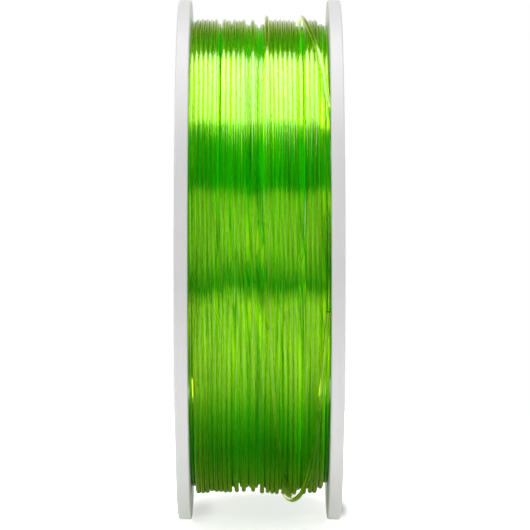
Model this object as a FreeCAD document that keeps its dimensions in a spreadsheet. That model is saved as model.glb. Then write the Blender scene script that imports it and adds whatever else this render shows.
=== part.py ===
"""Filament spool for a desktop 3D printer, as a parametric FreeCAD document.

Two identical moulded flanges snap onto a moulded core, a winding of 1.75 mm filament fills the space
between them, the last turns lie loose on the winding and their end is parked in the right flange.
Millimetres. The spool's axis is X, +Z is up, and the origin is the centre of the bore.
"""
import FreeCAD, Part
import math
import os
import Sketcher
from FreeCAD import Placement, Rotation, Vector

DIMENSIONS = [
    # the whole spool
    ("flange_diameter", 200.0),
    ("inner_width", 52.0),
    ("bore_diameter", 53.0),
    ("drum_diameter", 92.0),
    ("filament_diameter", 1.75),
    ("filament_play", 0.3),
    ("bite", 0.2),
    # flange
    ("web_thickness", 2.6),
    ("rim_depth", 3.5),
    ("rim_round", 0.7),
    ("hub_wall", 3.0),
    ("collar_reach", 10.0),
    ("ledge_beyond_drum", 8.5),
    ("ledge_wall", 1.6),
    # locating ring and snap barbs, inside the core's drum
    ("slip", 0.15),
    ("spigot_wall", 2.2),
    ("spigot_reach", 9.0),
    ("snap_count", 6),
    ("snap_span", 7.0),
    ("snap_width", 2.2),
    ("snap_height", 1.5),
    ("snap_inset", 6.0),
    ("snap_play", 0.4),
    # sight windows with their raised lips, stiffening ribs and fill marks
    ("window_count", 6),
    ("window_width", 13.0),
    ("window_below_rim", 7.5),
    ("window_above_ledge", 1.9),
    ("lip_width", 1.5),
    ("lip_height", 0.8),
    ("web_rib_width", 1.8),
    ("web_rib_height", 1.6),
    ("mark_gap", 1.0),
    ("mark_length", 4.0),
    ("long_mark_length", 6.0),
    ("mark_width", 0.7),
    ("mark_height", 0.5),
    # parking slots for the filament's end, and the moulded clip beside them
    ("park_below_rim", 2.9),
    ("park_turn", 51.0),
    ("park_pair_turn", 9.0),
    ("park_length", 9.2),
    ("park_entry", 1.0),
    ("park_slope", 36.0),
    ("parked_lift", 0.25),
    ("flush_gap", 0.3),
    ("clip_turn", 66.0),
    ("clip_length", 5.0),
    ("clip_wall", 1.2),
    ("clip_play", 0.15),
    ("tip_turn", 73.0),
    # core
    ("drum_wall", 2.5),
    ("sleeve_wall", 2.2),
    ("diaphragm", 2.0),
    ("core_rib_width", 2.0),
    ("core_rib_gap", 1.0),
    ("end_play", 0.1),
    ("anchor_inset", 13.5),
    # winding
    ("fill_below_rim", 9.1),
    ("winding_play", 0.15),
    ("shoulder", 1.2),
    # labels
    ("label_thickness", 0.15),
    ("label_margin", 1.2),
    ("sticker_height", 15.0),
    ("sticker_margin", 2.5),
    ("sticker_gap", 0.2),
]

SIZE = dict(DIMENSIONS)
NEAR = 0.01
MARK_COUNT = 5

# Derived radii and places along X, in the sheet's own words.
OUTER_R = "sizes.flange_diameter / 2"
RIM_INSIDE_R = OUTER_R + " - sizes.rim_depth"
BORE_R = "sizes.bore_diameter / 2"
HUB_R = BORE_R + " + sizes.hub_wall"
DRUM_R = "sizes.drum_diameter / 2"
DRUM_INSIDE_R = DRUM_R + " - sizes.drum_wall"
SPIGOT_R = DRUM_INSIDE_R + " - sizes.slip"
SLEEVE_INSIDE_R = HUB_R + " + sizes.slip"
SLEEVE_R = SLEEVE_INSIDE_R + " + sizes.sleeve_wall"
CAVITY_R = "((%s) + (%s)) / 2" % (SLEEVE_R, DRUM_INSIDE_R)
LEDGE_R = DRUM_R + " + sizes.ledge_beyond_drum"
LEDGE_OUTSIDE_R = LEDGE_R + " + sizes.ledge_wall"
WINDOW_NEAR_R = LEDGE_OUTSIDE_R + " + sizes.window_above_ledge"
WINDOW_FAR_R = RIM_INSIDE_R + " - sizes.window_below_rim"
PARK_R = RIM_INSIDE_R + " - sizes.park_below_rim"
WINDING_R = OUTER_R + " - sizes.fill_below_rim"
INNER_X = "sizes.inner_width / 2"
WEB_X = INNER_X + " + sizes.web_thickness"
RIM_X = WEB_X + " + sizes.filament_diameter + sizes.parked_lift + sizes.flush_gap"
CORE_X = INNER_X + " - sizes.end_play"
SNAP_X = INNER_X + " - sizes.snap_inset"

doc = FreeCAD.newDocument("filament_spool")


def make_sheet():
    """The driving dimensions, one named cell each."""
    sheet = doc.addObject("Spreadsheet::Sheet", "sizes")
    for row, (name, value) in enumerate(DIMENSIONS, start=1):
        sheet.set("A%d" % row, name)
        sheet.set("B%d" % row, str(value))
        sheet.setAlias("B%d" % row, name)
    doc.recompute()


def value_of(words):
    """The present value of an expression over the sheet."""
    value = doc.getObject("sizes").evalExpression(words)
    return float(getattr(value, "Value", value))


def new_body(label):
    body = doc.addObject("PartDesign::Body", label)
    body.Label = label
    return body


def datum(body, role):
    """One of the body's own origin planes or axes."""
    return next(item for item in body.Origin.OriginFeatures if item.Role == role)


def new_sketch(body, name, role, lift=None, turn=None):
    """A sketch on an origin plane, lifted along its normal and turned about it."""
    sketch = body.newObject("Sketcher::SketchObject", name)
    sketch.AttachmentSupport = (datum(body, role), [""])
    sketch.MapMode = "FlatFace"
    sketch.AttachmentOffset = Placement(Vector(), Rotation(Vector(0, 0, 1), 1.0 if turn else 0.0))
    if lift:
        sketch.setExpression("AttachmentOffset.Base.z", lift)
    if turn:
        sketch.setExpression("AttachmentOffset.Rotation.Angle", turn)
    return sketch


def outline(sketch, corners):
    """A closed polygon whose corners are pairs of expressions."""
    first = sketch.GeometryCount
    guesses = [Vector(value_of(x), value_of(y), 0) for x, y in corners]
    count = len(corners)
    for index in range(count):
        sketch.addGeometry(Part.LineSegment(guesses[index], guesses[(index + 1) % count]))
    for index in range(count):
        after = first + (index + 1) % count
        sketch.addConstraint(Sketcher.Constraint("Coincident", first + index, 2, after, 1))
    for index, pair in enumerate(corners):
        for kind, words, guess in zip(("DistanceX", "DistanceY"), pair, guesses[index]):
            rule = Sketcher.Constraint(kind, -1, 1, first + index, 1, guess)
            sketch.setExpression("Constraints[%d]" % sketch.addConstraint(rule), words)


def rectangle(sketch, left, right, low, high):
    outline(sketch, [(left, low), (right, low), (right, high), (left, high)])


def obround(sketch, low, high, half_width):
    """An upright slot on the sketch's vertical axis, between two end heights."""
    first = sketch.GeometryCount
    radius, bottom, top = (value_of(words) for words in (half_width, low, high))
    upper, lower = top - radius, bottom + radius
    for height, start in ((upper, 0.0), (lower, math.pi)):
        circle = Part.Circle(Vector(0, height, 0), Vector(0, 0, 1), radius)
        sketch.addGeometry(Part.ArcOfCircle(circle, start, start + math.pi))
    sketch.addGeometry(Part.LineSegment(Vector(radius, lower, 0), Vector(radius, upper, 0)))
    sketch.addGeometry(Part.LineSegment(Vector(-radius, upper, 0), Vector(-radius, lower, 0)))
    cap, foot, right, left = range(first, first + 4)
    for one, other in ((right, cap), (cap, left), (left, foot), (foot, right)):
        sketch.addConstraint(Sketcher.Constraint("Tangent", one, 2, other, 1))
    centres = ((cap, "(%s) - (%s)" % (high, half_width)), (foot, "(%s) + (%s)" % (low, half_width)))
    for arc, words in centres:
        sketch.addConstraint(Sketcher.Constraint("PointOnObject", arc, 3, -2))
        rule = Sketcher.Constraint("DistanceY", -1, 1, arc, 3, value_of(words))
        sketch.setExpression("Constraints[%d]" % sketch.addConstraint(rule), words)
    rule = sketch.addConstraint(Sketcher.Constraint("Radius", cap, radius))
    sketch.setExpression("Constraints[%d]" % rule, half_width)
    sketch.addConstraint(Sketcher.Constraint("Vertical", right))


def revolve(body, name, corners):
    """A ring turned about X from a half section drawn in the XZ plane."""
    sketch = new_sketch(body, name + "_section", "XZ_Plane")
    outline(sketch, corners)
    ring = body.newObject("PartDesign::Revolution", name)
    ring.Profile = sketch
    ring.ReferenceAxis = (sketch, ["H_Axis"])
    ring.Angle = 360
    return ring


def pad(body, name, sketch, length, symmetric=False):
    feature = body.newObject("PartDesign::Pad", name)
    feature.Profile = sketch
    feature.setExpression("Length", length)
    feature.Midplane = symmetric
    return feature


def cut(body, name, sketch):
    """A pocket through everything on the side that the sketch's normal points to."""
    feature = body.newObject("PartDesign::Pocket", name)
    feature.Profile = sketch
    feature.Type = "ThroughAll"
    feature.Reversed = True
    return feature


def around(body, name, feature, count):
    """Copies of one feature, evenly spaced about the spool's axis."""
    pattern = body.newObject("PartDesign::PolarPattern", name)
    pattern.Originals = [feature]
    pattern.Axis = (datum(body, "X_Axis"), [""])
    pattern.Angle = 360
    pattern.setExpression("Occurrences", count)
    body.Tip = pattern
    doc.recompute()
    return pattern


def round_edges(body, name, radius, chosen):
    """A fillet on the tip's circular edges whose radius chosen(radius) accepts."""
    doc.recompute()
    tip = body.Tip
    names = []
    for number, edge in enumerate(tip.Shape.Edges, start=1):
        if isinstance(edge.Curve, Part.Circle) and chosen(edge.Curve.Radius):
            names.append("Edge%d" % number)
    fillet = body.newObject("PartDesign::Fillet", name)
    fillet.Base = (tip, names)
    fillet.setExpression("Radius", radius)
    body.Tip = fillet
    doc.recompute()


# ---------------------------------------------------------------- flange

def make_flange(label, turned):
    """One moulded flange, built as the right-hand one and turned about Z for the left."""
    body = new_body(label)
    flange_disc(body)
    flange_windows(body)
    flange_web_details(body)
    flange_parking(body)
    flange_barbs(body)
    limit = SIZE["flange_diameter"] / 2 - NEAR
    round_edges(body, "rim_rounds", "sizes.rim_round", lambda radius: radius > limit)
    if turned:
        body.Placement = Placement(Vector(), Rotation(Vector(0, 0, 1), 180))
    return body


def flange_disc(body):
    """Web with a full-width rim, a full-width hub and two rings that reach into the core."""
    collar_x = INNER_X + " - sizes.collar_reach"
    spigot_x = INNER_X + " - sizes.spigot_reach"
    spigot_inside = SPIGOT_R + " - sizes.spigot_wall"
    ledge_x = WEB_X + " + sizes.lip_height"
    revolve(body, "disc", [
        (collar_x, BORE_R), (RIM_X, BORE_R), (RIM_X, HUB_R), (WEB_X, HUB_R),
        (WEB_X, LEDGE_R), (ledge_x, LEDGE_R), (ledge_x, LEDGE_OUTSIDE_R), (WEB_X, LEDGE_OUTSIDE_R),
        (WEB_X, RIM_INSIDE_R), (RIM_X, RIM_INSIDE_R), (RIM_X, OUTER_R), (INNER_X, OUTER_R),
        (INNER_X, SPIGOT_R), (spigot_x, SPIGOT_R), (spigot_x, spigot_inside), (INNER_X, spigot_inside),
        (INNER_X, HUB_R), (collar_x, HUB_R),
    ])


def flange_windows(body):
    """Radial sight windows, each inside a low raised lip."""
    half = "sizes.window_width / 2"
    lip = new_sketch(body, "lip_outline", "YZ_Plane", lift=WEB_X)
    obround(lip, WINDOW_NEAR_R + " - sizes.lip_width", WINDOW_FAR_R + " + sizes.lip_width",
            half + " + sizes.lip_width")
    raised = pad(body, "window_lip", lip, "sizes.lip_height")
    around(body, "window_lips", raised, "sizes.window_count")
    hole = new_sketch(body, "window_outline", "YZ_Plane", lift=INNER_X + " - sizes.bite")
    obround(hole, WINDOW_NEAR_R, WINDOW_FAR_R, half)
    opening = cut(body, "window", hole)
    around(body, "windows", opening, "sizes.window_count")


def flange_web_details(body):
    """Radial ribs midway between the windows, and a row of fill marks beside each window."""
    foot = WEB_X + " - sizes.bite"
    rib = new_sketch(body, "web_rib_outline", "YZ_Plane", lift=foot, turn="180 / sizes.window_count")
    half = "sizes.web_rib_width / 2"
    far = RIM_INSIDE_R + " + sizes.rim_depth / 2"
    rectangle(rib, "-" + half, half, LEDGE_R + " + sizes.ledge_wall / 2", far)
    feature = pad(body, "web_rib", rib, "sizes.web_rib_height + sizes.bite")
    around(body, "web_ribs", feature, "sizes.window_count")
    marks = new_sketch(body, "fill_mark_outline", "YZ_Plane", lift=foot)
    near = "sizes.window_width / 2 + sizes.lip_width + sizes.mark_gap"
    pitch = "((%s) - (%s)) / %d" % (WINDOW_FAR_R, WINDOW_NEAR_R, MARK_COUNT)
    for step in range(MARK_COUNT):
        middle = "%s + %s * %.1f" % (WINDOW_NEAR_R, pitch, step + 0.5)
        length = "sizes.long_mark_length" if step == MARK_COUNT // 2 else "sizes.mark_length"
        rectangle(marks, near, near + " + " + length, middle + " - sizes.mark_width / 2",
                  middle + " + sizes.mark_width / 2")
    feature = pad(body, "fill_mark", marks, "sizes.mark_height + sizes.bite")
    around(body, "fill_marks", feature, "sizes.window_count")


def flange_parking(body):
    """A pair of slots near the rim for the filament's end, and two ridges that clip it."""
    half = "sizes.park_length / 2"
    tall = "(sizes.filament_diameter / 2 + sizes.filament_play)"
    for index, turn in enumerate(("sizes.park_turn", "sizes.park_turn - sizes.park_pair_turn"), start=1):
        name = "parking_slot_%d" % index
        sketch = new_sketch(body, name + "_outline", "YZ_Plane", lift=INNER_X + " - sizes.bite", turn=turn)
        rectangle(sketch, "-" + half, half, PARK_R + " - " + tall, PARK_R + " + " + tall)
        cut(body, name, sketch)
    half = "sizes.clip_length / 2"
    gap = "(sizes.filament_diameter / 2 + sizes.clip_play)"
    inner = (PARK_R + " - " + gap + " - sizes.clip_wall", PARK_R + " - " + gap)
    outer = (PARK_R + " + " + gap, PARK_R + " + " + gap + " + sizes.clip_wall")
    for name, (low, high) in (("inner_ridge", inner), ("outer_ridge", outer)):
        lift = WEB_X + " - sizes.bite"
        sketch = new_sketch(body, name + "_outline", "YZ_Plane", lift=lift, turn="sizes.clip_turn")
        rectangle(sketch, "-" + half, half, low, high)
        pad(body, name, sketch, "sizes.filament_diameter + sizes.parked_lift + sizes.bite")


def flange_barbs(body):
    """Barbs on the locating ring that spring into the slots of the drum."""
    sketch = new_sketch(body, "barb_outline", "YZ_Plane", lift=SNAP_X + " - sizes.snap_width / 2")
    half = "sizes.snap_span / 2"
    root = SPIGOT_R + " - sizes.spigot_wall / 2"
    rectangle(sketch, "-" + half, half, root, SPIGOT_R + " + sizes.snap_height")
    barb = pad(body, "barb", sketch, "sizes.snap_width")
    around(body, "barbs", barb, "sizes.snap_count")


# ---------------------------------------------------------------- core

def make_core():
    """Drum and bore sleeve joined by a thin diaphragm and radial ribs, with snap slots at both ends."""
    body = new_body("core")
    half_wall = "sizes.diaphragm / 2"
    revolve(body, "drum", [
        ("-(%s)" % CORE_X, SLEEVE_INSIDE_R), (CORE_X, SLEEVE_INSIDE_R), (CORE_X, SLEEVE_R),
        (half_wall, SLEEVE_R), (half_wall, DRUM_INSIDE_R), (CORE_X, DRUM_INSIDE_R), (CORE_X, DRUM_R),
        ("-(%s)" % CORE_X, DRUM_R), ("-(%s)" % CORE_X, DRUM_INSIDE_R), ("-" + half_wall, DRUM_INSIDE_R),
        ("-" + half_wall, SLEEVE_R), ("-(%s)" % CORE_X, SLEEVE_R),
    ])
    rib = new_sketch(body, "rib_outline", "YZ_Plane", turn="180 / sizes.snap_count")
    half = "sizes.core_rib_width / 2"
    far = DRUM_R + " - sizes.drum_wall / 2"
    rectangle(rib, "-" + half, half, SLEEVE_R + " - sizes.sleeve_wall / 2", far)
    length = "sizes.inner_width - 2 * (sizes.spigot_reach + sizes.core_rib_gap)"
    feature = pad(body, "rib", rib, length, symmetric=True)
    around(body, "ribs", feature, "sizes.snap_count")
    for name, side in (("left", "-1"), ("right", "1")):
        slot = new_sketch(body, "snap_outline_" + name, "XY_Plane", lift=CAVITY_R)
        middle = "%s * (%s)" % (side, SNAP_X)
        wide = "(sizes.snap_width / 2 + sizes.snap_play)"
        long = "(sizes.snap_span / 2 + sizes.snap_play)"
        rectangle(slot, middle + " - " + wide, middle + " + " + wide, "-" + long, long)
        feature = cut(body, "snap_slot_" + name, slot)
        around(body, "snap_slots_" + name, feature, "sizes.snap_count")
    hole = new_sketch(body, "anchor_outline", "XY_Plane", lift=CAVITY_R)
    ring = hole.addGeometry(Part.Circle(Vector(-SIZE["anchor_inset"], 0, 0), Vector(0, 0, 1), 1))
    hole.addConstraint(Sketcher.Constraint("PointOnObject", ring, 3, -1))
    place = hole.addConstraint(Sketcher.Constraint("DistanceX", ring, 3, -1, 1, SIZE["anchor_inset"]))
    hole.setExpression("Constraints[%d]" % place, "sizes.anchor_inset")
    radius = hole.addConstraint(Sketcher.Constraint("Radius", ring, 1))
    hole.setExpression("Constraints[%d]" % radius, "sizes.filament_diameter / 2 + sizes.filament_play")
    cut(body, "anchor_hole", hole)
    return body


# ---------------------------------------------------------------- filament

def make_winding():
    """The wound filament as one plain ring with eased shoulders."""
    body = new_body("filament_winding")
    side = INNER_X + " - sizes.winding_play"
    inside = DRUM_R + " + sizes.winding_play"
    eased = WINDING_R + " - sizes.shoulder"
    revolve(body, "pack", [
        ("-(%s)" % side, inside), (side, inside), (side, eased), (side + " - sizes.shoulder", WINDING_R),
        ("-(%s) + sizes.shoulder" % side, WINDING_R), ("-(%s)" % side, eased),
    ])
    return body


def rounded_path(points, share=0.45):
    """Straight runs joined by tangent arcs, each as large as its two runs allow. Also gives the radii."""
    edges = []
    radii = []
    start = points[0]
    for before, corner, after in zip(points, points[1:], points[2:]):
        back = before - corner
        ahead = after - corner
        reach = share * min(back.Length, ahead.Length)
        back.normalize()
        ahead.normalize()
        turn = math.pi - back.getAngle(ahead)
        radius = reach / math.tan(turn / 2)
        enter = corner + back * reach
        leave = corner + ahead * reach
        inward = back + ahead
        inward.normalize()
        middle = corner + inward * (radius / math.cos(turn / 2) - radius)
        edges.append(Part.LineSegment(start, enter).toShape())
        edges.append(Part.Arc(enter, middle, leave).toShape())
        radii.append(radius)
        start = leave
    edges.append(Part.LineSegment(start, points[-1]).toShape())
    return Part.Wire(edges), radii


def make_strand(label, points):
    """A length of filament along a route of points."""
    path, radii = rounded_path(points)
    thick = SIZE["filament_diameter"] / 2
    first = points[1] - points[0]
    section = Part.Wire(Part.Circle(points[0], first, thick).toShape())
    solid = path.makePipeShell([section], True, False)
    strand = doc.addObject("Part::Feature", label)
    strand.Shape = solid
    strand.Label = label
    strand.Placement = Placement()
    full = math.pi * thick ** 2 * path.Length
    print("%s: length %.1f mm, smallest radius %.1f mm, volume ratio %.4f"
          % (label, path.Length, min(radii), solid.Volume / full))
    return strand


def round_spool(x, turn, radius):
    """A point at a radius: turn in degrees from the top towards the front."""
    angle = math.radians(turn)
    return Vector(x, -radius * math.sin(angle), radius * math.cos(angle))


# The loose last turns: distance in from the right flange, degrees round the spool, and the gap between
# the filament and the winding. The first turn passes over the second one under the spool.
LOOSE_ROUTE = [
    (1.1, 98, 0.2), (2.4, 107, 0.2), (3.7, 119, 0.2), (5.2, 133, 0.3), (7.4, 147, 0.9), (10.3, 160, 1.7),
    (13.6, 173, 1.95), (16.6, 187, 1.95), (18.8, 203, 1.3), (20.3, 222, 0.5), (21.3, 243, 0.2),
    (22.0, 265, 0.2), (22.5, 288, 0.2), (22.9, 311, 0.2), (23.1, 334, 0.2), (23.2, 357, 0.2),
    (23.2, 380, 0.2), (23.1, 403, 0.2), (22.9, 426, 0.2), (22.6, 447, 0.2), (21.7, 466, 0.2),
    (20.6, 482, 0.2), (19.0, 496, 0.2), (16.6, 510, 0.2), (15.0, 525, 0.2), (13.9, 541, 0.2),
    (12.8, 559, 0.2), (11.9, 580, 0.2), (11.2, 602, 0.2), (10.8, 625, 0.2), (10.6, 648, 0.2),
    (10.5, 671, 0.2), (10.5, 693, 0.2), (10.4, 711, 0.2), (9.4, 726, 0.2), (7.4, 739, 0.6),
    (4.4, 749.5, 0.9), (2.1, 759.5, 1.0),
]
LOOSE_TURNS = 720


def loose_points():
    """The route's points, each far enough out for the smooth line between them to keep its gap."""
    inner = value_of(INNER_X)
    surface = value_of(WINDING_R) + SIZE["filament_diameter"] / 2
    turns = [turn for _, turn, _ in LOOSE_ROUTE]
    steps = [after - before for before, after in zip(turns, turns[1:])]
    beside = zip([steps[0]] + steps, steps + [steps[-1]])
    points = []
    for (inset, turn, gap), (before, after) in zip(LOOSE_ROUTE, beside):
        bulge = math.cos(math.radians(before + after) / 4)
        points.append(round_spool(inner - inset, turn, (surface + gap) / bulge))
    return points


def make_loose_end():
    """The last turns of filament, whose end goes out through a parking slot and into the clip."""
    points = loose_points()
    park = value_of(PARK_R)
    entry = value_of(INNER_X) - SIZE["park_entry"]
    parked = value_of(WEB_X) + SIZE["filament_diameter"] / 2 + SIZE["parked_lift"]
    through = (parked - entry) / math.tan(math.radians(SIZE["park_slope"]))
    half_turn = math.degrees(through / 2 / park)
    slot, clip, tip = (LOOSE_TURNS + SIZE[name] for name in ("park_turn", "clip_turn", "tip_turn"))
    points.append(round_spool(entry, slot - half_turn, park))
    points.append(round_spool(parked, slot + half_turn, park))
    points.append(round_spool(parked, (slot + half_turn + clip) / 2, park))
    points.append(round_spool(parked, clip, park + SIZE["clip_play"]))
    points.append(round_spool(parked, tip, park))
    return make_strand("loose_filament_end", points)


# The filament's inner end: degrees round from the anchor hole, and depth as a share of the core's cavity.
TAIL_ROUTE = [(0.4, 0.3), (8.5, 0.5), (18.5, 0.5)]


def make_start_tail():
    """The filament's inner end, pushed through the drum and bent over behind its wall."""
    x = -SIZE["anchor_inset"]
    inside = value_of(DRUM_INSIDE_R)
    cavity = inside - value_of(SLEEVE_R)
    points = [round_spool(x, 0, value_of(DRUM_R))]
    points += [round_spool(x, turn, inside - depth * cavity) for turn, depth in TAIL_ROUTE]
    return make_strand("filament_start_tail", points)


# ---------------------------------------------------------------- labels

def make_spec_label():
    """A printed paper ring on the left flange, between the hub and the raised ledge."""
    body = new_body("spec_label")
    near = "-(%s)" % WEB_X
    far = "-(%s) - sizes.label_thickness" % WEB_X
    inside = HUB_R + " + sizes.label_margin"
    outside = LEDGE_R + " - sizes.label_margin"
    revolve(body, "paper_ring", [(far, inside), (near, inside), (near, outside), (far, outside)])
    return body


def make_batch_sticker():
    """A small paper sticker on the right flange, in the wedge between the lowest window and a rib."""
    body = new_body("batch_sticker")
    middle = "90 deg / sizes.window_count"
    sketch = new_sketch(body, "sticker_outline", "YZ_Plane", lift=WEB_X, turn="180 deg + " + middle)
    half = "sizes.sticker_height / 2"
    lip = "sizes.window_width / 2 + sizes.lip_width + sizes.sticker_gap"
    fits = "(%s + %s * cos(%s)) / sin(%s)" % (lip, half, middle, middle)
    near = "max(%s + sizes.sticker_margin; %s)" % (WINDOW_NEAR_R, fits)
    rectangle(sketch, "-" + half, half, near, WINDOW_FAR_R + " - sizes.sticker_margin")
    pad(body, "paper", sketch, "sizes.label_thickness")
    return body


def check_and_write(pieces):
    """Every object up to date and every piece one valid solid, then one STEP file each."""
    doc.recompute()
    for item in doc.Objects:
        if "Invalid" in item.State or "Error" in item.State:
            raise ValueError("%s: %s" % (item.Label, item.State))
    os.makedirs("parts", exist_ok=True)
    for piece in pieces:
        shape = piece.Shape
        if shape.isNull() or not shape.isValid() or len(shape.Solids) != 1:
            raise ValueError("%s is not one valid solid" % piece.Label)
        shape.exportStep("parts/%s.step" % piece.Label)
        print("%-22s %10.1f mm3" % (piece.Label, shape.Volume), shape.BoundBox)


make_sheet()
check_and_write([
    make_flange("left_flange", turned=True),
    make_flange("right_flange", turned=False),
    make_core(),
    make_winding(),
    make_loose_end(),
    make_start_tail(),
    make_spec_label(),
    make_batch_sticker(),
])
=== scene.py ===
"""Filament spool: white moulded flanges and core, wound translucent green filament, loose last turns."""
import math
import random

import bmesh
import bpy
from bpy.props import FloatProperty, FloatVectorProperty, IntProperty, PointerProperty
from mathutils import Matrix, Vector


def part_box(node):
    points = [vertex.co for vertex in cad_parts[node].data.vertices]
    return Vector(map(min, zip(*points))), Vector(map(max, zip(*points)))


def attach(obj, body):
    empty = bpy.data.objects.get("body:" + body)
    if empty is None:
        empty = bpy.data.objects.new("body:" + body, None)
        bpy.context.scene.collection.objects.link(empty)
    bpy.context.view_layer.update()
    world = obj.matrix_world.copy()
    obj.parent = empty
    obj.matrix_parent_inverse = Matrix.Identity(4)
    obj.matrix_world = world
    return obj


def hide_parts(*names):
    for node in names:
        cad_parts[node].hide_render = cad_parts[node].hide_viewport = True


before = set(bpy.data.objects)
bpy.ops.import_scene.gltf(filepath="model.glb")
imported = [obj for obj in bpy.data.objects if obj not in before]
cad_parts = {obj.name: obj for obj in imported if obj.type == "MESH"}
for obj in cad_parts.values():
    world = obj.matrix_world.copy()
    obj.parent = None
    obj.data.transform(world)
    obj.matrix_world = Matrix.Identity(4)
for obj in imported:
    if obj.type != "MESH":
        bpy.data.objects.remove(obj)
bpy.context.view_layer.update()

bl_info = {
    "name": "Filament Spool",
    "version": (1, 0, 0),
    "blender": (4, 5, 0),
    "location": "3D View > Sidebar > Spool",
    "description": "Builds a full spool of printer filament around its packed frame",
    "category": "Object",
}

MM = 0.001


# ---------------------------------------------------------------- places from the frame

def reach(node):
    """The largest distance of a node from the spool's axis."""
    low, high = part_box(node)
    return max(abs(low[2]), abs(high[2]), abs(low[1]), abs(high[1]))


INNER_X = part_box("filament_winding")[1][0] + 0.15 * MM
FLANGE_R = reach("right_flange")
WINDING_R = reach("filament_winding")
DRUM_R = reach("core")
FLOOR_Z = -FLANGE_R


# ---------------------------------------------------------------- settings

def colour(label, words, default):
    return FloatVectorProperty(name=label, description=words, subtype="COLOR", size=3, min=0, max=1,
                               default=default)


def length(label, words, default):
    return FloatProperty(name=label, description=words, unit="LENGTH", precision=5, default=default)


class SpoolFinish(bpy.types.PropertyGroup):
    """Colours of the plastics, the filament and the labels."""

    filament: colour("Filament", "Tint of a single strand", (0.71, 0.99, 0.03))
    # The deep filament colour is also the colour of the depth's painted glow.
    filament_deep: colour("Deep filament", "Tint of the winding's depth", (0.012, 0.35, 0.004))
    plastic: colour("Plastic", "Colour of the flanges and the core", (0.54, 0.54, 0.54))
    paper: colour("Paper", "Colour of the labels", (0.70, 0.70, 0.68))
    swatch: colour("Swatch", "Colour of the printed patch on the ring label", (0.20, 0.46, 0.02))
    ink: colour("Ink", "Colour of the generic bars on the labels", (0.09, 0.10, 0.11))


class WindingSizes(bpy.types.PropertyGroup):
    """How the filament is wound."""

    strand: length("Filament", "Diameter of the filament", 1.75 * MM)
    turns: IntProperty(name="Turns", description="Turns in a full layer", default=27, min=5)
    outer_turns: IntProperty(name="Outer turns", description="Turns in the last, open layer", default=23,
                             min=5)
    layers: IntProperty(name="Layers", description="Outer layers made turn by turn", default=4, min=2)
    samples: IntProperty(name="Samples", description="Points round one turn", default=120, min=36)
    rise: length("Rise", "How far the wound pack sits above the spool's centre", 1.25 * MM)
    wander: length("Wander", "How far a turn strays sideways", 0.16 * MM)
    uneven: length("Unevenness", "How far the pack's surface strays from round", 0.38 * MM)
    seed: IntProperty(name="Seed", description="Seed of the winding's irregularity", default=11)


class StageSizes(bpy.types.PropertyGroup):
    """Camera and floor."""

    distance: length("Camera distance", "From the camera to the spool's centre", 1.42)
    rise: FloatProperty(name="Camera rise", description="Camera's height as an angle", unit="ROTATION",
                        default=math.radians(4.0))
    lens: FloatProperty(name="Lens", description="Focal length on a 36 mm sensor", unit="CAMERA",
                        default=250.0)
    floor: length("Floor", "Radius of the floor", 0.37)


# ---------------------------------------------------------------- mesh helpers

def finish_piece(piece, slot, *nodes):
    """Ride on the root and stand for CAD nodes. The slot is not used."""
    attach(piece, "root")
    if nodes:
        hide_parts(*nodes)
    return piece


def add_object(name, data):
    piece = bpy.data.objects.new(name, data)
    bpy.context.scene.collection.objects.link(piece)
    return piece


def mesh_object(name, bm, material, smooth_angle=None):
    """A new object from a bmesh, smooth shaded, with edges sharper than the angle kept crisp."""
    mesh = bpy.data.meshes.new(name)
    bm.normal_update()
    bm.to_mesh(mesh)
    bm.free()
    mesh.materials.append(material)
    mesh.shade_smooth()
    if smooth_angle is not None:
        mesh.set_sharp_from_angle(angle=smooth_angle)
    return add_object(name, mesh)


def spun(profile, steps):
    """A ring turned about the X axis from a closed loop of (x, radius) points."""
    bm = bmesh.new()
    verts = [bm.verts.new((x, 0, radius)) for x, radius in profile]
    edges = [bm.edges.new((a, b)) for a, b in zip(verts, verts[1:] + verts[:1])]
    bmesh.ops.spin(bm, geom=verts + edges, cent=(0, 0, 0), axis=(1, 0, 0), angle=math.tau,
                   steps=steps, use_merge=True)
    bmesh.ops.remove_doubles(bm, verts=bm.verts, dist=1e-7)
    bmesh.ops.recalc_face_normals(bm, faces=bm.faces)
    return bm


def tube_curve(name, lines, thick, sides):
    """Round tubes along polylines, as one mesh."""
    curve = bpy.data.curves.new(name, "CURVE")
    curve.dimensions = "3D"
    curve.bevel_depth = thick / 2
    curve.bevel_resolution = (sides - 4) // 2
    curve.use_fill_caps = True
    curve.twist_mode = "MINIMUM"
    for points, closed in lines:
        spline = curve.splines.new("POLY")
        spline.points.add(len(points) - 1)
        for target, point in zip(spline.points, points):
            target.co = (*point, 1.0)
        spline.use_cyclic_u = closed
        spline.use_smooth = True
    holder = add_object(name + "_line", curve)
    graph = bpy.context.evaluated_depsgraph_get()
    mesh = bpy.data.meshes.new_from_object(holder.evaluated_get(graph))
    bpy.data.objects.remove(holder)
    bpy.data.curves.remove(curve)
    mesh.name = name
    return mesh


def around(x, turn, radius):
    """A point at a radius: turn in radians from the top towards the front."""
    return Vector((x, -radius * math.sin(turn), radius * math.cos(turn)))


# ---------------------------------------------------------------- materials

def new_material(name):
    material = bpy.data.materials.new(name)
    material.use_nodes = True
    tree = material.node_tree
    shader = next(node for node in tree.nodes if node.type == "BSDF_PRINCIPLED")
    return material, tree, shader


def node(tree, kind, **settings):
    made = tree.nodes.new("ShaderNode" + kind)
    for key, value in settings.items():
        setattr(made, key, value)
    return made


def object_place(tree):
    return node(tree, "TexCoord").outputs["Object"]


def noise(tree, place, scale, detail=2.0, stretch=None):
    """Noise on a place, optionally stretched by a scale along each axis."""
    if stretch:
        mapping = node(tree, "Mapping")
        mapping.inputs["Scale"].default_value = stretch
        tree.links.new(place, mapping.inputs["Vector"])
        place = mapping.outputs["Vector"]
    made = node(tree, "TexNoise")
    made.inputs["Scale"].default_value = scale
    made.inputs["Detail"].default_value = detail
    tree.links.new(place, made.inputs["Vector"])
    return made.outputs["Fac"]


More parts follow.
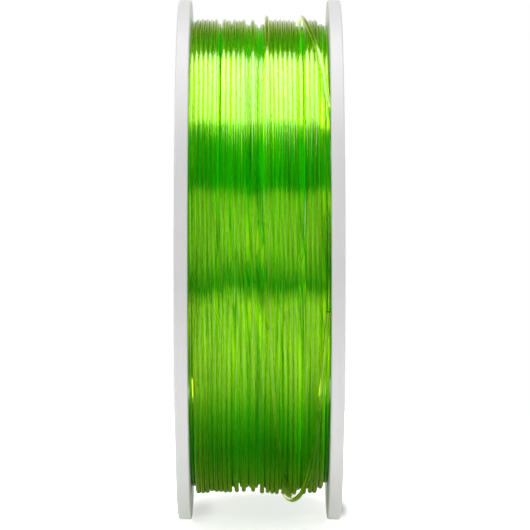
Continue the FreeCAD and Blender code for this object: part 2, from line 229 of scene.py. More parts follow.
def ramp(tree, value, stops):
    """A colour ramp: stops are (position, colour)."""
    made = node(tree, "ValToRGB")
    tree.links.new(value, made.inputs["Fac"])
    elements = made.color_ramp.elements
    while len(elements) < len(stops):
        elements.new(0.5)
    for element, (position, shade) in zip(elements, stops):
        element.position = position
        element.color = (*shade[:3], 1.0)
    return made.outputs["Color"]


def maths(tree, operation, *values):
    made = node(tree, "Math", operation=operation)
    for socket, value in zip(made.inputs, values):
        if isinstance(value, (int, float)):
            socket.default_value = value
        else:
            tree.links.new(value, socket)
    return made.outputs["Value"]


def bump(tree, shader, height, strength, distance):
    made = node(tree, "Bump")
    made.inputs["Strength"].default_value = strength
    made.inputs["Distance"].default_value = distance
    tree.links.new(height, made.inputs["Height"])
    tree.links.new(made.outputs["Normal"], shader.inputs["Normal"])


def scaled(shade, factor):
    return tuple(min(1.0, channel * factor) for channel in shade)


def clouded(tree, fac, shade, low, high):
    """A shade that varies with a noise: low and high are (noise value, share of the shade)."""
    return ramp(tree, fac, [(place, scaled(shade, share)) for place, share in (low, high)])


def combined(tree, operation, *pairs):
    """The products of two pairs of values, added or subtracted."""
    return maths(tree, operation, *[maths(tree, "MULTIPLY", *pair) for pair in pairs])


def diagonal(tree, across, along):
    """The length of a line that goes so far across and so far along."""
    return maths(tree, "SQRT", combined(tree, "ADD", (across, across), (along, along)))


def round_place(tree, place):
    """Radius and angle about the X axis, from a place."""
    parts = node(tree, "SeparateXYZ")
    tree.links.new(place, parts.inputs["Vector"])
    y, z = parts.outputs["Y"], parts.outputs["Z"]
    return diagonal(tree, y, z), maths(tree, "ARCTAN2", z, y)


# Roughness of the smoothest moulded plastic, and how much scuffs add to it.
SMOOTHEST = 0.34
SCUFFING = 0.14


def moulded_plastic(name, shade):
    """Satin white moulded plastic: fine texture, cloudy flow shade and soft scuffs."""
    material, tree, shader = new_material(name)
    place = object_place(tree)
    cloud = noise(tree, place, scale=14.0, detail=3.0)
    tree.links.new(clouded(tree, cloud, shade, (0.3, 0.97), (0.7, 1.0)), shader.inputs["Base Color"])
    scuffs = noise(tree, place, scale=60.0, detail=4.0)
    rough = maths(tree, "ADD", SMOOTHEST, maths(tree, "MULTIPLY", scuffs, SCUFFING))
    tree.links.new(rough, shader.inputs["Roughness"])
    bump(tree, shader, noise(tree, place, scale=2600.0), strength=0.12, distance=0.06 * MM)
    shader.inputs["IOR"].default_value = 1.49
    shader.inputs["Subsurface Weight"].default_value = 0.12
    shader.inputs["Subsurface Radius"].default_value = (1.0, 0.95, 0.9)
    shader.inputs["Subsurface Scale"].default_value = 0.0015
    return material


def strand_tint(tree):
    """Noise that changes from strand to strand and slowly along each."""
    return noise(tree, object_place(tree), scale=1.0, detail=1.0, stretch=(420.0, 9.0, 9.0))


def filament_plastic(name, shade):
    """Clear tinted filament, with slight changes of tint from strand to strand.

    Its gleam is tinted too, for the light that it carries along inside.
    """
    material, tree, shader = new_material(name)
    tint = clouded(tree, strand_tint(tree), shade, (0.25, 0.94), (0.75, 1.04))
    tree.links.new(tint, shader.inputs["Base Color"])
    shader.inputs["Roughness"].default_value = 0.10
    shader.inputs["IOR"].default_value = 1.55
    shader.inputs["Transmission Weight"].default_value = 1.0
    shader.inputs["Specular Tint"].default_value = (0.95, 1.0, 0.62, 1.0)
    let_light_through(tree, shader, shade)
    return material


def let_light_through(tree, shader, shade):
    """Lamps reach what lies under the clear strands, tinted as the strands tint it."""
    path = node(tree, "LightPath")
    clear = node(tree, "BsdfTransparent")
    clear.inputs["Color"].default_value = (*[math.sqrt(channel) for channel in shade], 1.0)
    mix = node(tree, "MixShader")
    tree.links.new(path.outputs["Is Shadow Ray"], mix.inputs["Fac"])
    tree.links.new(shader.outputs["BSDF"], mix.inputs[1])
    tree.links.new(clear.outputs["BSDF"], mix.inputs[2])
    output = next(made for made in tree.nodes if made.type == "OUTPUT_MATERIAL")
    tree.links.new(mix.outputs["Shader"], output.inputs["Surface"])


def pack_plastic(name, shade):
    """The depth of the winding: tinted as by a long way through the strands, with a painted green glow for
    the light it throws back.
    """
    material, tree, shader = new_material(name)
    tint = clouded(tree, strand_tint(tree), shade, (0.3, 0.8), (0.7, 1.1))
    tree.links.new(tint, shader.inputs["Base Color"])
    shader.inputs["Roughness"].default_value = 0.15
    shader.inputs["IOR"].default_value = 3.0
    # Painted glow: the depth shines by itself in its deep green, for light scattered back inside the
    # winding.
    shader.inputs["Emission Color"].default_value = (*shade, 1.0)
    shader.inputs["Emission Strength"].default_value = 0.20
    return material


# The bars in place of print: dashes for each metre, change of pattern from row to row, and a bar's share
# of its row.
DASHES = 330.0
ROW_CHANGE = 7.3
BAR_SHARE = 0.42
# The ring label, in millimetres from the spool's axis and radians round it.
RING_LINES = (32.4, 51.2)
RING_LINE = 0.5
SWATCH_BAND = (35.0, 49.0)
SWATCH_ARC = (0.9, 2.25)
PRINT_BAND = (35.0, 48.6)
PRINT_ARCS = ((-2.6, -0.55), (-0.35, 0.7), (2.45, 3.1))
RING_ROW = 2.3
# The sticker, in millimetres from its middle line and, away from the spool's axis, from its middle.
STICKER_SIDE = 5.9
STICKER_ROW = 2.4
STICKER_TEXT = (-10.0, 3.6)
STICKER_STRIPES = (5.2, 9.6)
STRIPE_RATE = 5200.0


def between(tree, value, low, high):
    """1 where a value lies between two limits, else 0."""
    above, below = maths(tree, "GREATER_THAN", value, low), maths(tree, "LESS_THAN", value, high)
    return maths(tree, "MULTIPLY", above, below)


def painted(tree, under, shade, *masks):
    """A colour laid over another where every mask is 1."""
    mask = masks[0]
    for other in masks[1:]:
        mask = maths(tree, "MULTIPLY", mask, other)
    mix = node(tree, "MixRGB")
    tree.links.new(mask, mix.inputs["Fac"])
    tree.links.new(under, mix.inputs["Color1"])
    mix.inputs["Color2"].default_value = (*shade, 1.0)
    return mix.outputs["Color"]


def print_bars(tree, across, along, pitch):
    """Rows of dashes that stand for lines of print: across and along are places in metres."""
    rows = maths(tree, "DIVIDE", across, pitch)
    place = node(tree, "CombineXYZ")
    tree.links.new(maths(tree, "MULTIPLY", along, DASHES), place.inputs["X"])
    tree.links.new(maths(tree, "MULTIPLY", maths(tree, "FLOOR", rows), ROW_CHANGE), place.inputs["Y"])
    pattern = noise(tree, place.outputs["Vector"], scale=1.0, detail=0.0)
    dash = maths(tree, "GREATER_THAN", pattern, BAR_SHARE)
    bar = maths(tree, "LESS_THAN", maths(tree, "FRACT", rows), BAR_SHARE)
    return maths(tree, "MULTIPLY", bar, dash)


def paper_base(name, paper):
    """Coated paper with faint fibre: material, tree, shader, place and the bare paper's colour."""
    material, tree, shader = new_material(name)
    place = object_place(tree)
    fibre = noise(tree, place, scale=900.0, detail=4.0)
    shader.inputs["Roughness"].default_value = 0.5
    bump(tree, shader, fibre, strength=0.1, distance=0.03 * MM)
    return material, tree, shader, place, clouded(tree, fibre, paper, (0.3, 0.94), (0.7, 1.0))


def ring_paper(name, finish):
    """The ring label: two thin lines, a swatch in the filament's colour, and bars in place of print."""
    material, tree, shader, place, shade = paper_base(name, finish.paper)
    radius, angle = round_place(tree, place)
    millimetres = maths(tree, "DIVIDE", radius, MM)
    for edge in RING_LINES:
        shade = painted(tree, shade, finish.ink, between(tree, millimetres, edge, edge + RING_LINE))
    swatch = between(tree, millimetres, *SWATCH_BAND)
    shade = painted(tree, shade, finish.swatch, swatch, between(tree, angle, *SWATCH_ARC))
    arc = maths(tree, "MULTIPLY", angle, sum(SWATCH_BAND) / 2 * MM)
    bars = print_bars(tree, radius, arc, RING_ROW * MM)
    band = between(tree, millimetres, *PRINT_BAND)
    for ends in PRINT_ARCS:
        shade = painted(tree, shade, finish.ink, bars, band, between(tree, angle, *ends))
    tree.links.new(shade, shader.inputs["Base Color"])
    return material


def sticker_paper(name, finish, node_name):
    """The sticker: rows of bars in place of print, and a column of stripes at one end."""
    material, tree, shader, place, shade = paper_base(name, finish.paper)
    low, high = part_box(node_name)
    outward = Vector((0, (low[1] + high[1]) / 2, (low[2] + high[2]) / 2))
    middle = outward.length
    outward.normalize()
    parts = node(tree, "SeparateXYZ")
    tree.links.new(place, parts.inputs["Vector"])
    y, z = parts.outputs["Y"], parts.outputs["Z"]
    out = combined(tree, "ADD", (y, outward.y), (z, outward.z))
    side = combined(tree, "SUBTRACT", (z, outward.y), (y, outward.z))
    inside = between(tree, side, -STICKER_SIDE * MM, STICKER_SIDE * MM)
    bars = print_bars(tree, side, out, STICKER_ROW * MM)
    wave = maths(tree, "SINE", maths(tree, "MULTIPLY", side, STRIPE_RATE))
    stripes = maths(tree, "GREATER_THAN", wave, 0.1)
    for marks, (start, end) in ((bars, STICKER_TEXT), (stripes, STICKER_STRIPES)):
        block = between(tree, out, middle + start * MM, middle + end * MM)
        shade = painted(tree, shade, finish.ink, marks, inside, block)
    tree.links.new(shade, shader.inputs["Base Color"])
    return material


# ---------------------------------------------------------------- winding

# Where round the spool a layer starts, where each turn steps sideways, and where it does so over a wide
# gap: parts of a turn. STEP_WIDTH is the part of a turn that a step takes.
START_TURN = 0.6
STEP_TURN = 0.665
WIDE_STEP_TURN = 0.12
STEP_WIDTH = 0.15
WIDE_GAP = 3 * MM
# How much the spacing of the turns varies in the deepest layer, the last one and those between.
DEEP_JITTER, OPEN_JITTER, JITTER = 0.03, 0.34, 0.14
# The height of a layer over the one below, and the closest that two turns lie, as shares of the filament.
NEST = 0.86
CLOSEST = 0.985
# The pack: how deep it lies under each made layer, and in from the flanges, as shares of the filament.
PACK_NEST = 0.84
PACK_INSET = 0.75
# The turns against a flange: their pitch and how far below the winding's surface they end, as shares of the
# filament, how far they stray from the flange in millimetres, and the points round each.
SIDE_PITCH = 0.99
SIDE_TOP = 2.6
SIDE_STRAY = 0.12
SIDE_POINTS = 90
# How far the filament stays from the flanges, and how far and how deep the winding rounds off near them.
FLANGE_GAP = 0.04 * MM
SHOULDER = 3.2 * MM
SHOULDER_DROP = 0.9 * MM
# The pack's swells: count, least and most share, least and most pace along the axis for each millimetre,
# and fewest and most waves round the spool.
SWELLS = ((6, (0.5, 1.0), (0.05, 0.22), (0, 2)), (5, (0.9, 1.5), (0.08, 0.45), (6, 10)))
# Where the last layer leaves a stretch of the one below open, along the axis in millimetres.
OPEN_STRETCH = (-5.8, -2.4)


class Wander:
    """Smooth noise along a line, from random values at even spacing."""

    def __init__(self, source, extent, spacing):
        self.spacing = spacing
        self.values = [source.gauss(0.0, 1.0) for _ in range(int(extent / spacing) + 4)]

    def at(self, place):
        whole, part = divmod(place / self.spacing, 1.0)
        ease = part * part * (3 - 2 * part)
        index = int(whole)
        return self.values[index] * (1 - ease) + self.values[index + 1] * ease


def step_over(part, middle):
    """Share of its sideways step that the filament has made at this part of a turn."""
    share = max(0.0, min(1.0, (part - middle) / STEP_WIDTH + 0.5))
    return share * share * (3 - 2 * share)


def layer_places(count, source, jitter, span):
    """Sideways places of a layer's turns, unevenly spaced from flange to flange."""
    steps = [1.0 + source.gauss(0.0, jitter) for _ in range(count - 1)]
    scale = span / sum(steps)
    places = [-span / 2]
    for step in steps:
        places.append(places[-1] + step * scale)
    return places


def turn_tracks(places, samples, source, wander):
    """Sideways place of every turn at every sample round the spool: a list of rows, one for each turn."""
    drift = Wander(source, len(places) + 1, 0.23)
    sway = Wander(source, len(places) + 1, 0.06)
    rows = []
    for index, here in enumerate(places):
        there = places[index + 1] if index + 1 < len(places) else here
        wide = abs(there - here) > WIDE_GAP
        middle = (WIDE_STEP_TURN if wide else STEP_TURN) + source.gauss(0.0, 0.02)
        row = []
        for sample in range(samples):
            along = index + sample / samples
            stray = wander * (drift.at(along) + 0.3 * sway.at(along))
            row.append(here + (there - here) * step_over(sample / samples, middle) + stray)
        rows.append(row)
    return rows


def keep_apart(row, gap, limit):
    """Push one sample's sorted places apart, between the flanges."""
    low = -limit
    for index, place in enumerate(row):
        row[index] = low = max(place, low)
        low += gap
    high = limit
    for index in range(len(row) - 1, -1, -1):
        row[index] = high = min(row[index], high)
        high -= gap
    return row


def rest_on(place, below, thick, floor):
    """Radius at which a strand rests on the strands below it."""
    radius = floor
    for other, height in below:
        apart = abs(place - other)
        if apart < thick:
            radius = max(radius, height + math.sqrt(thick * thick - apart * apart))
    return radius


def smoothed(values, width):
    """A running mean along an open line, twice."""
    count = len(values)
    for _ in range(2):
        total = [0.0]
        for value in values:
            total.append(total[-1] + value)
        spans = [(max(0, i - width), min(count, i + width + 1)) for i in range(count)]
        values = [(total[high] - total[low]) / (high - low) for low, high in spans]
    return values


def winding_layers(sizes):
    """Every outer layer's centre line, from the deepest to the outermost."""
    source = random.Random(sizes.seed)
    thick = sizes.strand
    limit = INNER_X - thick / 2 - FLANGE_GAP
    nest = thick * NEST
    base = WINDING_R - thick / 2 - nest * (sizes.layers - 1) - 0.05 * MM
    swells = [(source.uniform(*share), source.uniform(*pace) / MM, source.uniform(0, math.tau),
               source.randint(*waves), source.uniform(0, math.tau))
              for count, share, pace, waves in SWELLS for _ in range(count)]
    below = [[] for _ in range(sizes.samples)]
    lines = []
    for layer in range(sizes.layers):
        outer = layer == sizes.layers - 1
        count = sizes.outer_turns if outer else sizes.turns
        jitter = OPEN_JITTER if outer else JITTER if layer else DEEP_JITTER
        places = layer_places(count, source, jitter, 2 * limit)
        lay = -1 if layer % 2 else 1
        if outer:
            start, end = OPEN_STRETCH
            places = [place for place in places if not start * MM < lay * place < end * MM]
        rows = turn_tracks(places, sizes.samples, source, sizes.wander * (0.3 if layer == 0 else 1.0))
        for sample in range(sizes.samples):
            column = keep_apart([row[sample] for row in rows], thick * CLOSEST, limit)
            for row, place in zip(rows, column):
                row[sample] = place
        flat = smoothed([lay * place for row in rows for place in row], 2)
        heights = []
        for index, place in enumerate(flat):
            turn = math.tau * (index / sizes.samples + START_TURN)
            swell = sum(share * math.sin(place * pace + phase + waves * turn + shift)
                        for share, pace, phase, waves, shift in swells) / 3
            edge = max(0.0, 1.0 - (limit - abs(place)) / SHOULDER)
            floor = base + nest * layer + sizes.uneven * swell - SHOULDER_DROP * edge * edge
            if layer:
                floor = rest_on(place, below[index % sizes.samples], thick, floor - nest)
            heights.append(floor)
        heights = smoothed(heights, 2)
        points = []
        here = [[] for _ in range(sizes.samples)]
        for index, (place, radius) in enumerate(zip(flat, heights)):
            turn = math.tau * (index / sizes.samples + START_TURN)
            points.append(around(place, turn, radius + sizes.rise * math.cos(turn)))
            here[index % sizes.samples].append((place, radius))
        lines.append(points)
        below = [old + new for old, new in zip(below, here)]
    return lines


class SPOOL_OT_winding(bpy.types.Operator):
    """Wind the filament: a deep pack, its side turns, and the outer layers turn by turn"""

    bl_idname = "spool.winding"
    bl_label = "Winding"

    def execute(self, context):
        sizes = context.scene.winding
        finish = context.scene.spool_finish
        strand = filament_plastic("filament_green", finish.filament)
        deep = pack_plastic("filament_depth", finish.filament_deep)
        thick = sizes.strand
        lines = winding_layers(sizes)
        for index, points in enumerate(lines, start=1):
            mesh = tube_curve("winding_layer_%d" % index, [(points, False)], thick, 10)
            mesh.materials.clear()
            mesh.materials.append(deep if index < len(lines) - 1 else strand)
            layer = add_object("winding_layer_%d" % index, mesh)
            finish_piece(layer, "filament", "filament_winding")
            if index >= len(lines) - 1:
                bpy.data.collections["gleaming"].objects.link(layer)
        self.make_pack(thick, sizes, deep)
        self.make_side_turns(thick, sizes, strand)
        return {"FINISHED"}

    def make_pack(self, thick, sizes, material):
        """The solid depth of the winding, just under the made layers and between the side turns."""
        inside = DRUM_R + 0.15 * MM
        nest = thick * PACK_NEST
        outside = WINDING_R - thick - nest * (sizes.layers - 1) - sizes.rise - 0.2 * MM
        side = INNER_X - thick * PACK_INSET
        bm = spun([(-side, inside), (side, inside), (side, outside), (-side, outside)], 96)
        pack = mesh_object("winding_pack", bm, material, math.radians(40))
        finish_piece(pack, "filament", "filament_winding")

    def make_side_turns(self, thick, sizes, material):
        """The turns that touch each flange, seen through its windows."""
        source = random.Random(sizes.seed + 1)
        pitch = thick * SIDE_PITCH
        count = int((WINDING_R - thick * SIDE_TOP - DRUM_R) / pitch)
        for name, side in (("left", -1), ("right", 1)):
            lines = []
            for ring in range(count):
                radius = DRUM_R + 0.2 * MM + thick / 2 + ring * pitch
                x = side * (INNER_X - thick / 2 - abs(source.gauss(0.0, SIDE_STRAY)) * MM)
                ring_line = [around(x, math.tau * k / SIDE_POINTS, radius) for k in range(SIDE_POINTS)]
                lines.append((ring_line, True))
            label = "winding_side_" + name
            mesh = tube_curve(label, lines, thick, 8)
            mesh.materials.clear()
            mesh.materials.append(material)
            finish_piece(add_object(label, mesh), "filament", "filament_winding")


# ---------------------------------------------------------------- loose end

# Distance in from the right flange in millimetres, degrees round the spool, and the gap to the winding.
LOOSE_ROUTE = [
    (1.0, 98, -0.7), (2.3, 107, 0.0), (3.7, 119, 0.2), (5.2, 133, 0.3), (7.4, 147, 0.9), (10.3, 160, 1.7),
    (13.6, 173, 1.95), (16.6, 187, 1.95), (18.8, 203, 1.3), (20.3, 222, 0.5), (21.3, 243, 0.2),
    (22.0, 265, 0.2), (22.5, 288, 0.2), (22.9, 311, 0.2), (23.1, 334, 0.2), (23.2, 357, 0.2),
    (23.2, 380, 0.2), (23.1, 403, 0.2), (22.9, 426, 0.2), (22.6, 447, 0.2), (21.7, 466, 0.2),
    (20.6, 482, 0.2), (19.0, 496, 0.2), (16.6, 510, 0.2), (15.0, 525, 0.2), (13.9, 541, 0.2),
    (12.8, 559, 0.2), (11.9, 580, 0.2), (11.2, 602, 0.2), (10.8, 625, 0.2), (10.6, 648, 0.2),
    (10.5, 671, 0.2), (10.5, 693, 0.2), (10.4, 711, 0.2), (9.4, 726, 0.2), (7.4, 739, 0.6),
    (4.4, 749.5, 0.9), (2.1, 759.5, 1.0),
]
# The parked end: place along the axis in millimetres, degrees round the spool, radius in millimetres.
PARKED_ROUTE = [
    (25.0, 769.05, 93.6), (29.725, 772.95, 93.6), (29.725, 779.5, 93.6), (29.725, 786.0, 93.75),
    (29.725, 793.0, 93.6),
]


def loose_points(thick, rise):
    """The route's points, each far enough out for the smooth line between them to keep its gap."""
    turns = [turn for _, turn, _ in LOOSE_ROUTE]
    steps = [after - before for before, after in zip(turns, turns[1:])]
    beside = zip([steps[0]] + steps, steps + [steps[-1]])
    points = []
    for (inset, turn, gap), (before, after) in zip(LOOSE_ROUTE, beside):
        bulge = math.cos(math.radians(before + after) / 4)
        angle = math.radians(turn)
        radius = WINDING_R + thick / 2 + gap * MM + rise * math.cos(angle)
        points.append(around(INNER_X - inset * MM, angle, radius / bulge))
    for x, turn, radius in PARKED_ROUTE:
        points.append(around(x * MM, math.radians(turn), radius * MM))
    return points


class SPOOL_OT_loose_end(bpy.types.Operator):
    """Lay the loose last turns over the winding and park their end in the right flange"""

    bl_idname = "spool.loose_end"
    bl_label = "Loose end"

    def execute(self, context):
        sizes = context.scene.winding
        points = loose_points(sizes.strand, sizes.rise)
        curve = bpy.data.curves.new("loose_end", "CURVE")
        curve.dimensions = "3D"
        curve.bevel_depth = sizes.strand / 2
        curve.bevel_resolution = 3
        curve.use_fill_caps = True
        curve.resolution_u = 10
        spline = curve.splines.new("NURBS")
        spline.points.add(len(points) - 1)
        for target, point in zip(spline.points, points):
            target.co = (*point, 1.0)
        spline.order_u = 3
        spline.use_endpoint_u = True
        curve.materials.append(bpy.data.materials["filament_green"])
        piece = add_object("loose_end", curve)
        finish_piece(piece, "filament", "loose_filament_end")
        bpy.data.collections["gleaming"].objects.link(piece)
        return {"FINISHED"}


class SPOOL_OT_start_tail(bpy.types.Operator):
    """Give the filament's inner end its finish"""

    bl_idname = "spool.start_tail"
    bl_label = "Start tail"

    def execute(self, context):
        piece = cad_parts["filament_start_tail"]
        set_material(piece, bpy.data.materials["filament_green"])
        return {"FINISHED"}


# ---------------------------------------------------------------- flanges, core and labels

def set_material(piece, material):
    piece.data.materials.clear()
    piece.data.materials.append(material)


class SPOOL_OT_mouldings(bpy.types.Operator):
    """Finish the flanges and the core"""

    bl_idname = "spool.mouldings"
    bl_label = "Mouldings"

    def execute(self, context):
        finish = context.scene.spool_finish
        white = moulded_plastic("moulded_white", finish.plastic)
        for name in ("left_flange", "right_flange", "core"):
            set_material(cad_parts[name], white)
        return {"FINISHED"}


class SPOOL_OT_labels(bpy.types.Operator):
    """Finish the paper ring and the sticker"""

    bl_idname = "spool.labels"
    bl_label = "Labels"

    def execute(self, context):
        finish = context.scene.spool_finish
        ring = ring_paper("ring_label_print", finish)
        set_material(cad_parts["spec_label"], ring)
        sticker = sticker_paper("sticker_print", finish, "batch_sticker")
        set_material(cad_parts["batch_sticker"], sticker)
        return {"FINISHED"}


# ---------------------------------------------------------------- stage

# Brightness of the room by height: degrees from the front horizon over the top to the back.
ROOM_BANDS = [
    (-180, 1.2), (-14.8, 1.2), (-13.2, 0.02), (-9.4, 0.02), (-7.4, 0.42), (-2, 0.68), (4, 1.0), (12, 1.3),
    (34, 1.3), (37.5, 0.02), (145, 0.02), (165, 0.8), (180, 1.2),
]
# Painted light and shade on the table, as its glow by millimetres from the spool's foot: to gloss, a
# painted shadow under the spool; to matt surfaces, painted light that is brightest near the foot.
PAINTED_GLOSS_GLOW = [(0, 0.22), (30, 0.17), (50, 0.10), (75, 0.26), (105, 0.52), (150, 0.78)]
PAINTED_MATT_GLOW = [(0, 0.95), (60, 0.60), (110, 0.40), (150, 0.40)]
# A painted green glow on the table under the winding, for the winding's own green light, seen only by
# gloss, and where it fades out, in millimetres from the foot.
PAINTED_GREEN_GLOW = (0.66, 1.0, 0.26)
PAINTED_GREEN_FADE = (67.5, 112.5)
# Painted shadows on the table beside the rims' feet: place along the axis and half width in millimetres,
# and the share of light left; then the middle and half length of each painted shadow across the axis.
PAINTED_FOOT_SHADOWS = [(-24.5, 10, 0.72), (31.4, 6.5, 0.30)]
PAINTED_SHADOW_Y, PAINTED_SHADOW_LENGTH = 22 * MM, 50 * MM
# The bluish lamp that only the outer strands and the loose end reflect.
GLEAM_COLOUR = (0.25, 0.25, 1.0)
# How bright the table is to the camera, how much of its painted glow to gloss also sets its own colour as
# painted shade near the foot, and the most light that it throws back.
TABLE_WHITE = 0.68
GLOSS_SHARE = 1.3
TABLE_COLOUR = 0.9
# The frame's shift, in widths of the picture, and the short toe of its tones: light in and light out.
SHIFT = (0.0103, -0.0102)
TONE_TOE = ((0.02, 0.010), (0.06, 0.046), (0.12, 0.115))


def area_light(name, place, aim, size_x, size_y, brightness):
    """A rectangular light of an even brightness, unseen by the camera."""
    data = bpy.data.lights.new(name, "AREA")
    data.shape = "RECTANGLE"
    data.size = size_x
    data.size_y = size_y
    data.energy = brightness * math.pi * size_x * size_y
    lamp = add_object(name, data)
    lamp.location = place
    lamp.rotation_euler = (Vector(aim) - Vector(place)).to_track_quat("-Z", "Y").to_euler()
    lamp.visible_camera = False
    return lamp


class SPOOL_OT_stage(bpy.types.Operator):
    """Set up the floor, the studio light, the white surroundings and the camera"""

    bl_idname = "spool.stage"
    bl_label = "Stage"

    def execute(self, context):
        stage = context.scene.stage_sizes
        self.make_floor(stage)
        self.make_world()
        area_light("overhead", (-0.3, 0.045, 0.9), (-0.3, 0.045, 0), 2.4, 0.81, brightness=3.3)
        gleam = area_light("overhead_gleam", (-0.3, 0.06, 0.86), (-0.3, 0.06, 0), 2.3, 0.74, brightness=4.4)
        gleam.data.color = GLEAM_COLOUR
        gleam.visible_diffuse = False
        gleam.light_linking.receiver_collection = bpy.data.collections.new("gleaming")
        soft = area_light("front_soft", (0, -1.15, 0.35), (0, 0, 0), 1.0, 0.5, brightness=1.5)
        soft.visible_glossy = False
        soft.visible_transmission = False
        self.make_camera(context, stage)
        self.set_tone(context.scene.view_settings)
        return {"FINISHED"}

    def make_floor(self, stage):
        """A round white table top, lit to the camera, with painted shadows by the rims' feet; to all else
        it has a painted shadow and painted light near the foot.
        """
        material, tree, shader = new_material("studio_floor")
        shader.inputs["Roughness"].default_value = 0.9
        shader.inputs["Specular IOR Level"].default_value = 0.0
        parts = node(tree, "SeparateXYZ")
        tree.links.new(object_place(tree), parts.inputs["Vector"])
        away = diagonal(tree, parts.outputs["X"], parts.outputs["Y"])
        to_gloss, to_matt = (self.painted_table_glow(tree, away, places) for places in (PAINTED_GLOSS_GLOW, PAINTED_MATT_GLOW))
        shade = 1.0
        # Painted shadows by the rims' feet darken the table's colour and glow.
        for place, width, left in PAINTED_FOOT_SHADOWS:
            foot_shadow = self.painted_foot_shadow(tree, parts, place * MM, width * MM, left)
            shade = maths(tree, "MULTIPLY", shade, foot_shadow)
        path = node(tree, "LightPath")
        camera = path.outputs["Is Camera Ray"]
        matt = path.outputs["Is Diffuse Ray"]
        plain = maths(tree, "ADD", camera, matt)
        # To gloss, the table's own colour follows its painted glow: painted shade near the foot.
        lit = maths(tree, "MAXIMUM", plain, maths(tree, "MULTIPLY", to_gloss, GLOSS_SHARE))
        base = maths(tree, "MULTIPLY", maths(tree, "MULTIPLY", shade, lit), TABLE_COLOUR)
        base = maths(tree, "MINIMUM", base, TABLE_COLOUR)
        # The painted green glow tints the table's colour and its glow near the foot.
        tint = self.painted_green_light(tree, away, plain)
        mix = node(tree, "MixRGB", blend_type="MULTIPLY")
        mix.inputs["Fac"].default_value = 1.0
        tree.links.new(base, mix.inputs["Color1"])
        tree.links.new(tint, mix.inputs["Color2"])
        tree.links.new(mix.outputs["Color"], shader.inputs["Base Color"])
        tree.links.new(tint, shader.inputs["Emission Color"])
        to_camera = maths(tree, "MULTIPLY", maths(tree, "MULTIPLY", camera, TABLE_WHITE), shade)
        to_matt = maths(tree, "MULTIPLY", to_matt, matt)
        to_gloss = maths(tree, "MULTIPLY", to_gloss, maths(tree, "SUBTRACT", 1.0, matt))
        glow = maths(tree, "MAXIMUM", maths(tree, "MAXIMUM", to_gloss, to_matt), to_camera)
        tree.links.new(glow, shader.inputs["Emission Strength"])
        bm = bmesh.new()
        bmesh.ops.create_circle(bm, cap_ends=True, segments=96, radius=stage.floor)
        bmesh.ops.translate(bm, verts=bm.verts, vec=(0, 0, FLOOR_Z))
        mesh_object("floor", bm, material)

    def painted_table_glow(self, tree, away, places):
        """The table's painted glow at a distance from the foot."""
        furthest = places[-1][0]
        stops = [(place / furthest, (level, level, level)) for place, level in places]
        return ramp(tree, maths(tree, "DIVIDE", away, furthest * MM), stops)

    def painted_green_light(self, tree, away, plain):
        """A painted green glow on the table: green to gloss near the foot, white to all else."""
        start, end = (place / PAINTED_GREEN_FADE[1] for place in PAINTED_GREEN_FADE)
        share = maths(tree, "DIVIDE", away, PAINTED_GREEN_FADE[1] * MM)
        near = ramp(tree, share, [(start, (1, 1, 1)), (end, (0, 0, 0))])
        mirrored = maths(tree, "MULTIPLY", near, maths(tree, "SUBTRACT", 1.0, plain))
        return ramp(tree, mirrored, [(0.0, (1, 1, 1)), (1.0, PAINTED_GREEN_GLOW)])

    def painted_foot_shadow(self, tree, parts, place, width, left):
        """A painted shadow beside a rim's foot: 1 away from it, the share of light left at its middle."""
        across = maths(tree, "DIVIDE", maths(tree, "SUBTRACT", parts.outputs["X"], place), width)
        along = maths(tree, "SUBTRACT", parts.outputs["Y"], PAINTED_SHADOW_Y)
        along = maths(tree, "DIVIDE", along, PAINTED_SHADOW_LENGTH)
        spread = node(tree, "MapRange", interpolation_type="SMOOTHSTEP")
        tree.links.new(diagonal(tree, across, along), spread.inputs["Value"])
        spread.inputs["To Min"].default_value = left
        return spread.outputs["Result"]

    def make_world(self):
        """White to the camera; to the object, a room of bright and dark bands."""
        world = bpy.data.worlds.new("studio")
        bpy.context.scene.world = world
        world.use_nodes = True
        tree = world.node_tree
        background = tree.nodes["Background"]
        parts = node(tree, "SeparateXYZ")
        tree.links.new(node(tree, "TexCoord").outputs["Generated"], parts.inputs["Vector"])
        forward = maths(tree, "MULTIPLY", parts.outputs["Y"], -1.0)
        height = maths(tree, "ARCTAN2", parts.outputs["Z"], forward)
        turn = maths(tree, "ADD", maths(tree, "DIVIDE", height, math.tau), 0.5)
        bands = [(angle / 360 + 0.5, (level, level, level)) for angle, level in ROOM_BANDS]
        room = ramp(tree, turn, bands)
        path = node(tree, "LightPath")
        mix = node(tree, "MixRGB")
        tree.links.new(path.outputs["Is Camera Ray"], mix.inputs["Fac"])
        tree.links.new(room, mix.inputs["Color1"])
        mix.inputs["Color2"].default_value = (1, 1, 1, 1)
        tree.links.new(mix.outputs["Color"], background.inputs["Color"])
        background.inputs["Strength"].default_value = 1.0

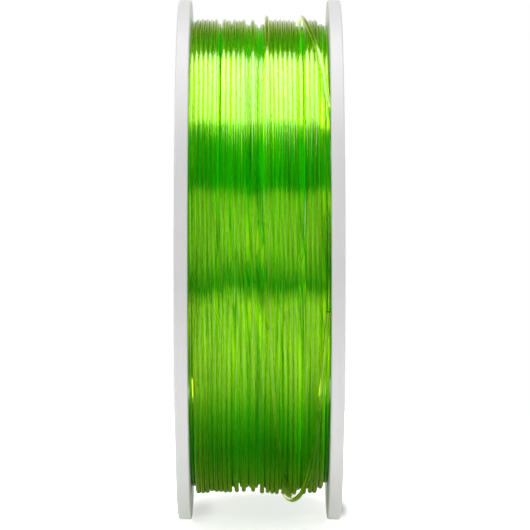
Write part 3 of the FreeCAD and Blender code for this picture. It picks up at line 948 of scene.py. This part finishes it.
    def set_tone(self, view):
        """Plain colours with a short toe, as on a print."""
        view.view_transform = "Standard"
        view.use_curve_mapping = True
        curve = view.curve_mapping.curves[3]
        for place, level in TONE_TOE:
            curve.points.new(place, level)
        view.curve_mapping.update()

    def make_camera(self, context, stage):
        data = bpy.data.cameras.new("camera")
        data.sensor_width = 36.0
        data.lens = stage.lens
        data.shift_x, data.shift_y = SHIFT
        data.clip_end = 100.0
        camera = add_object("camera", data)
        away = Vector((0, -math.cos(stage.rise), math.sin(stage.rise)))
        camera.location = away * stage.distance
        camera.rotation_euler = (-away).to_track_quat("-Z", "Y").to_euler()
        context.scene.camera = camera


# ---------------------------------------------------------------- add-on

STEPS = ("stage", "mouldings", "winding", "loose_end", "start_tail", "labels")


class SPOOL_PT_panel(bpy.types.Panel):
    """Every step of the spool, and its settings"""

    bl_idname = "SPOOL_PT_panel"
    bl_label = "Filament Spool"
    bl_space_type = "VIEW_3D"
    bl_region_type = "UI"
    bl_category = "Spool"

    def draw(self, context):
        for step in STEPS:
            self.layout.operator("spool." + step)
        for group in (context.scene.spool_finish, context.scene.winding, context.scene.stage_sizes):
            box = self.layout.box()
            for key in group.__annotations__:
                box.prop(group, key)


CLASSES = (
    SpoolFinish, WindingSizes, StageSizes,
    SPOOL_OT_stage, SPOOL_OT_mouldings, SPOOL_OT_winding, SPOOL_OT_loose_end, SPOOL_OT_start_tail,
    SPOOL_OT_labels, SPOOL_PT_panel,
)


def register():
    for kind in CLASSES:
        bpy.utils.register_class(kind)
    bpy.types.Scene.spool_finish = PointerProperty(type=SpoolFinish)
    bpy.types.Scene.winding = PointerProperty(type=WindingSizes)
    bpy.types.Scene.stage_sizes = PointerProperty(type=StageSizes)


def unregister():
    del bpy.types.Scene.stage_sizes
    del bpy.types.Scene.winding
    del bpy.types.Scene.spool_finish
    for kind in reversed(CLASSES):
        bpy.utils.unregister_class(kind)


def main():
    register()
    for step in STEPS:
        getattr(bpy.ops.spool, step)()


if __name__ == "__main__":
    main()
